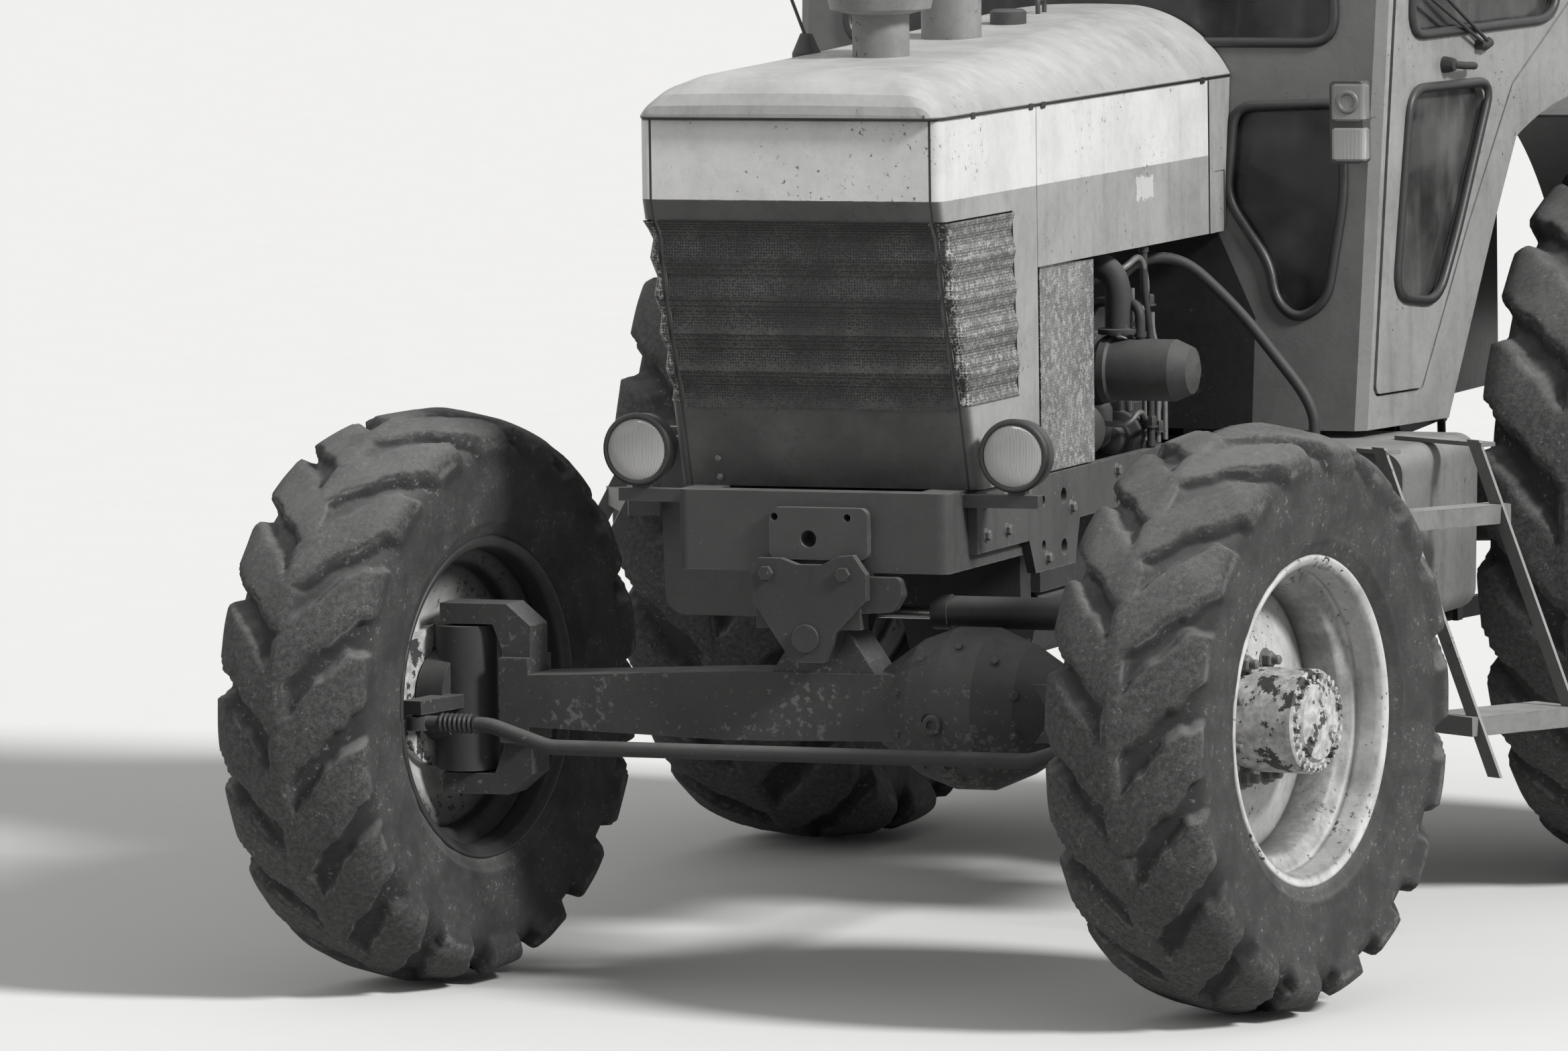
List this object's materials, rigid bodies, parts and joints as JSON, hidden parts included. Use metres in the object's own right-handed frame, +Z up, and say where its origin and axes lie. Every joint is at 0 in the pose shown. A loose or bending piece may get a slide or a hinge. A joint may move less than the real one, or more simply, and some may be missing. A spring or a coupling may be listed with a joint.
{
  "type": "farm tractor",
  "caption": "Four-wheel-drive row-crop farm tractor with a slab-sided hood, glazed cab, steered front axle and rear linkage.",
  "frame": {"origin": "on the ground under the middle of the tractor's footprint", "axes": "+Z up, -Y is the way the tractor drives, +X its left side"},
  "size_m": [2.8934, 4.6885, 3.0736],
  "materials": {
    "hood_paint": "worn semi-gloss light grey",
    "cab_paint": "worn semi-gloss grey",
    "frame_paint": "dull dark grey with dirt",
    "cast_grey": "rough, oily",
    "rim_paint": "pale, chipped",
    "hub_paint": "flaking pale paint over rust",
    "tyre_black": "worn, muddy",
    "grille_black": "matte mesh",
    "window": "dusty",
    "exhaust_steel": "heat stained",
    "rod_chrome": "bright with dust",
    "hose_rubber": "matte",
    "seat_fabric": "worn",
    "console_plastic": "grained",
    "lamp_body": "matte with clear lens"
  },
  "bodies": {
    "chassis": {"cab_console": "console_plastic", "cab_floor": "cab_paint", "cab_frame": "cab_paint", "cab_glass": "window", "cab_roof": "cab_paint", "canister": "frame_paint", "drawbar": "cast_grey", "drive_shaft": "cast_grey", "engine": "cast_grey", "exhaust": "exhaust_steel", "fan": "frame_paint", "fenders": "cab_paint", "frame_rails": "frame_paint", "front_axle": "cast_grey", "front_bolster": "frame_paint", "front_grille": "grille_black", "fuel_tanks": "frame_paint", "gearbox": "cast_grey", "hood_fittings": "console_plastic", "hood_rear_band": "hood_paint", "hood_sides": "hood_paint", "hood_top": "hood_paint", "hoses": "hose_rubber", "lamps": "lamp_body", "nose_shell": "hood_paint", "pivot_bracket": "cast_grey", "pre_cleaner": "console_plastic", "radiator": "frame_paint", "rear_axle": "cast_grey", "seat": "seat_fabric", "side_grilles": "grille_black", "steps": "frame_paint"},
    "knuckle_left": {"knuckle_left": "cast_grey"},
    "knuckle_right": {"knuckle_right": "cast_grey"},
    "wheel_front_left": {"tyre_front_left": "tyre_black", "rim_front_left": "rim_paint", "hub_front_left": "hub_paint"},
    "wheel_front_right": {"tyre_front_right": "tyre_black", "rim_front_right": "rim_paint", "hub_front_right": "hub_paint"},
    "wheel_rear_left": {"tyre_rear_left": "tyre_black", "rim_rear_left": "rim_paint"},
    "wheel_rear_right": {"tyre_rear_right": "tyre_black", "rim_rear_right": "rim_paint"},
    "tie_rod": {"tie_rod": "cast_grey"},
    "cylinder_barrel": {"steering_cylinder": "frame_paint"},
    "cylinder_rod": {"steering_cylinder_rod": "rod_chrome"},
    "steering_wheel": {"steering_wheel": "console_plastic"},
    "door_left": {"door_left": "cab_paint", "door_glass_left": "window"},
    "door_right": {"door_right": "cab_paint", "door_glass_right": "window"},
    "lift_arms": {"lift_arms": "cast_grey"},
    "lift_rods": {"lift_rods": "cast_grey"},
    "lower_links": {"lower_links": "cast_grey"}
  },
  "joints": [
    {"name": "steer_left", "type": "hinge", "parent": "chassis", "child": "knuckle_left", "pos_m": [0.925, -1.65966, 0.67805], "axis": [0, 0, 1], "range_deg": [-32.8, 51.2]},
    {"name": "steer_right", "type": "hinge", "parent": "chassis", "child": "knuckle_right", "pos_m": [-0.925, -1.65966, 0.67805], "axis": [0, 0, 1], "range_deg": [-33.3, 51.7]},
    {"name": "front_left_spin", "type": "hinge", "parent": "knuckle_left", "child": "wheel_front_left", "pos_m": [1.02371, -1.67565, 0.67805], "axis": [0.9871, -0.1599, 0], "continuous": true},
    {"name": "front_right_spin", "type": "hinge", "parent": "knuckle_right", "child": "wheel_front_right", "pos_m": [-1.02371, -1.64367, 0.67805], "axis": [0.9871, -0.1599, 0], "continuous": true},
    {"name": "rear_left_spin", "type": "hinge", "parent": "chassis", "child": "wheel_rear_left", "pos_m": [1.15, 1.26034, 0.90805], "axis": [1, 0, 0], "continuous": true},
    {"name": "rear_right_spin", "type": "hinge", "parent": "chassis", "child": "wheel_rear_right", "pos_m": [-1.15, 1.26034, 0.90805], "axis": [1, 0, 0], "continuous": true},
    {"name": "tie_rod_swing", "type": "hinge", "parent": "knuckle_left", "child": "tie_rod", "pos_m": [0.89063, -1.87189, 0.63806], "axis": [0, 0, 1], "range_deg": [-51.7, 33.3]},
    {"name": "cylinder_swing", "type": "hinge", "parent": "knuckle_left", "child": "cylinder_barrel", "pos_m": [0.95762, -1.45828, 0.88306], "axis": [0, 0, 1], "range_deg": [-51.7, 33.3]},
    {"name": "cylinder_stroke", "type": "slide", "parent": "cylinder_barrel", "child": "cylinder_rod", "axis": [1, 0, 0], "range_m": [-0.1101, 0.1702]},
    {"name": "steering_wheel_turn", "type": "hinge", "parent": "chassis", "child": "steering_wheel", "pos_m": [0, 0.56034, 2.07626], "axis": [0, 0.5, 0.866], "continuous": true},
    {"name": "door_left_swing", "type": "hinge", "parent": "chassis", "child": "door_left", "pos_m": [0.95488, 1.12834, 2.48806], "axis": [0, 0, 1], "range_deg": [0, 65]},
    {"name": "door_right_swing", "type": "hinge", "parent": "chassis", "child": "door_right", "pos_m": [-0.95488, 1.12834, 2.48806], "axis": [0, 0, 1], "range_deg": [-65, 0]},
    {"name": "lift_arms_lift", "type": "hinge", "parent": "chassis", "child": "lift_arms", "pos_m": [0, 1.57634, 1.08306], "axis": [1, 0, 0], "range_deg": [-20, 40]},
    {"name": "lift_rods_swing", "type": "hinge", "parent": "lift_arms", "child": "lift_rods", "pos_m": [0, 1.87634, 1.08306], "axis": [1, 0, 0], "range_deg": [-40, 20.5]},
    {"name": "lower_links_lift", "type": "hinge", "parent": "chassis", "child": "lower_links", "pos_m": [0, 1.42034, 0.56305], "axis": [1, 0, 0], "range_deg": [-13, 25.5]}
  ],
  "couplings": [
    {"joint": "steer_right", "follows": "steer_left", "ratio": 1},
    {"joint": "tie_rod_swing", "follows": "steer_left", "ratio": -1},
    {"joint": "cylinder_swing", "follows": "steer_left", "ratio": -1},
    {"joint": "cylinder_stroke", "follows": "steer_left", "m_per_rad": 0.1871},
    {"joint": "lift_rods_swing", "follows": "lift_arms_lift", "ratio": -0.96},
    {"joint": "lower_links_lift", "follows": "lift_arms_lift", "ratio": 0.625}
  ]
}
